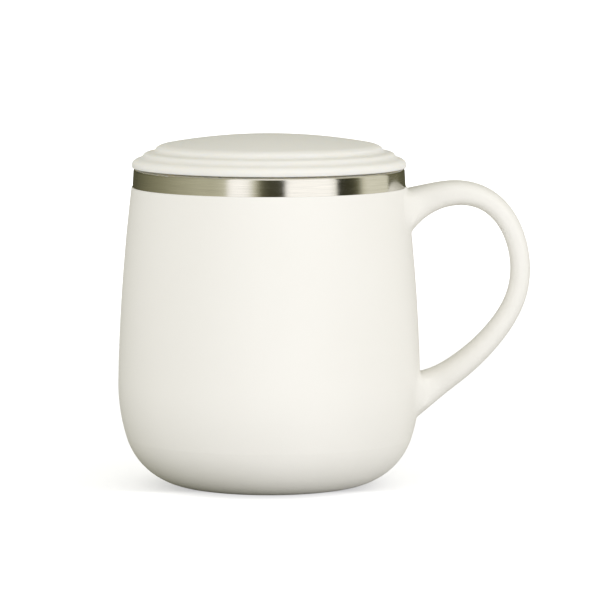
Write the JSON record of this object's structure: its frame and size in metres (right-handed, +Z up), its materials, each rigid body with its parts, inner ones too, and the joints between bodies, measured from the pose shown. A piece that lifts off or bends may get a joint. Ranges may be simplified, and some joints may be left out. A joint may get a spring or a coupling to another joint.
{
  "type": "lidded tea mug with infuser",
  "caption": "Round matt white tea mug with a loop handle, a bare steel band at the mouth, a steel liner, a lift-out perforated infuser basket and a terraced lift-off lid.",
  "frame": {"origin": "on the mug's axis, at the underside of the foot pad, where it stands on a table", "axes": "+Z up along the axis of the mug, +X from the axis towards the handle"},
  "size_m": [0.1295, 0.095, 0.1108],
  "materials": {
    "shell_plastic": "fine matt, warm white",
    "lid_plastic": "fine matt, warm white",
    "silicone": "matt silicone",
    "liner_steel": "fine brushed round the axis",
    "infuser_steel": "satin",
    "screw_steel": "plain"
  },
  "bodies": {
    "mug": {"outer_shell": "shell_plastic", "base_cover": "shell_plastic", "foot_pad": "silicone", "inner_liner": "liner_steel", "liner_gasket": "silicone", "liner_spacer": "silicone", "handle": "shell_plastic", "handle_screws": "screw_steel"},
    "infuser": {"infuser_collar": "infuser_steel", "infuser_sleeve": "infuser_steel", "infuser_floor": "infuser_steel"},
    "lid": {"lid_cover": "lid_plastic", "lid_plug": "lid_plastic", "lid_seal": "silicone"}
  },
  "joints": [
    {"name": "infuser_lift", "type": "slide", "parent": "mug", "child": "infuser", "axis": [0, 0, 1], "range_m": [0, 0.08]},
    {"name": "lid_lift", "type": "slide", "parent": "infuser", "child": "lid", "axis": [0, 0, 1], "range_m": [0, 0.05]}
  ]
}
